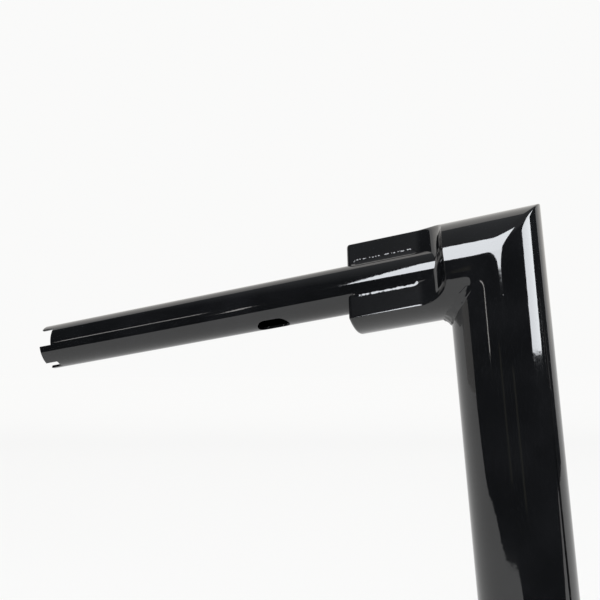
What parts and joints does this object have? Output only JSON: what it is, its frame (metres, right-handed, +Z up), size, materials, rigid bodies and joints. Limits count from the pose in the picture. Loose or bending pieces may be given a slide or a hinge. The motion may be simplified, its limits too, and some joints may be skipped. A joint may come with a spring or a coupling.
{
  "type": "motorcycle handlebar",
  "caption": "welded fat-tube motorcycle handlebar with mitred corners, recessed arms, slim grip tubes and a clamp tube in the middle",
  "frame": {"origin": "middle of the clamp tube, on its axis", "axes": "+X to the rider's left along the clamp tube, +Y towards the rider, +Z up"},
  "size_m": [0.8988, 0.1367, 0.356],
  "materials": {
    "gloss_black": "gloss black powder coat",
    "bare_steel": "bare steel, hidden inside the tubes"
  },
  "bodies": {
    "root": {"arm_tube_right": "gloss_black", "arm_tube_left": "gloss_black", "arm_end_plate_right": "gloss_black", "arm_end_plate_left": "gloss_black", "recess_plate_right": "gloss_black", "recess_plate_left": "gloss_black", "upper_recess_weld_right": "gloss_black", "upper_recess_weld_left": "gloss_black", "lower_recess_weld_right": "gloss_black", "lower_recess_weld_left": "gloss_black", "upper_corner_weld_right": "gloss_black", "upper_corner_weld_left": "gloss_black", "lower_corner_weld_right": "gloss_black", "lower_corner_weld_left": "gloss_black", "upright_tube_right": "gloss_black", "upright_tube_left": "gloss_black", "base_tube_right": "gloss_black", "base_tube_left": "gloss_black", "base_ring_right": "gloss_black", "base_ring_left": "gloss_black", "grip_tube_right": "gloss_black", "grip_tube_left": "gloss_black", "base_bush_right": "bare_steel", "base_bush_left": "bare_steel", "grip_saddle_right": "bare_steel", "grip_saddle_left": "bare_steel", "clamp_tube": "gloss_black"}
  },
  "joints": []
}
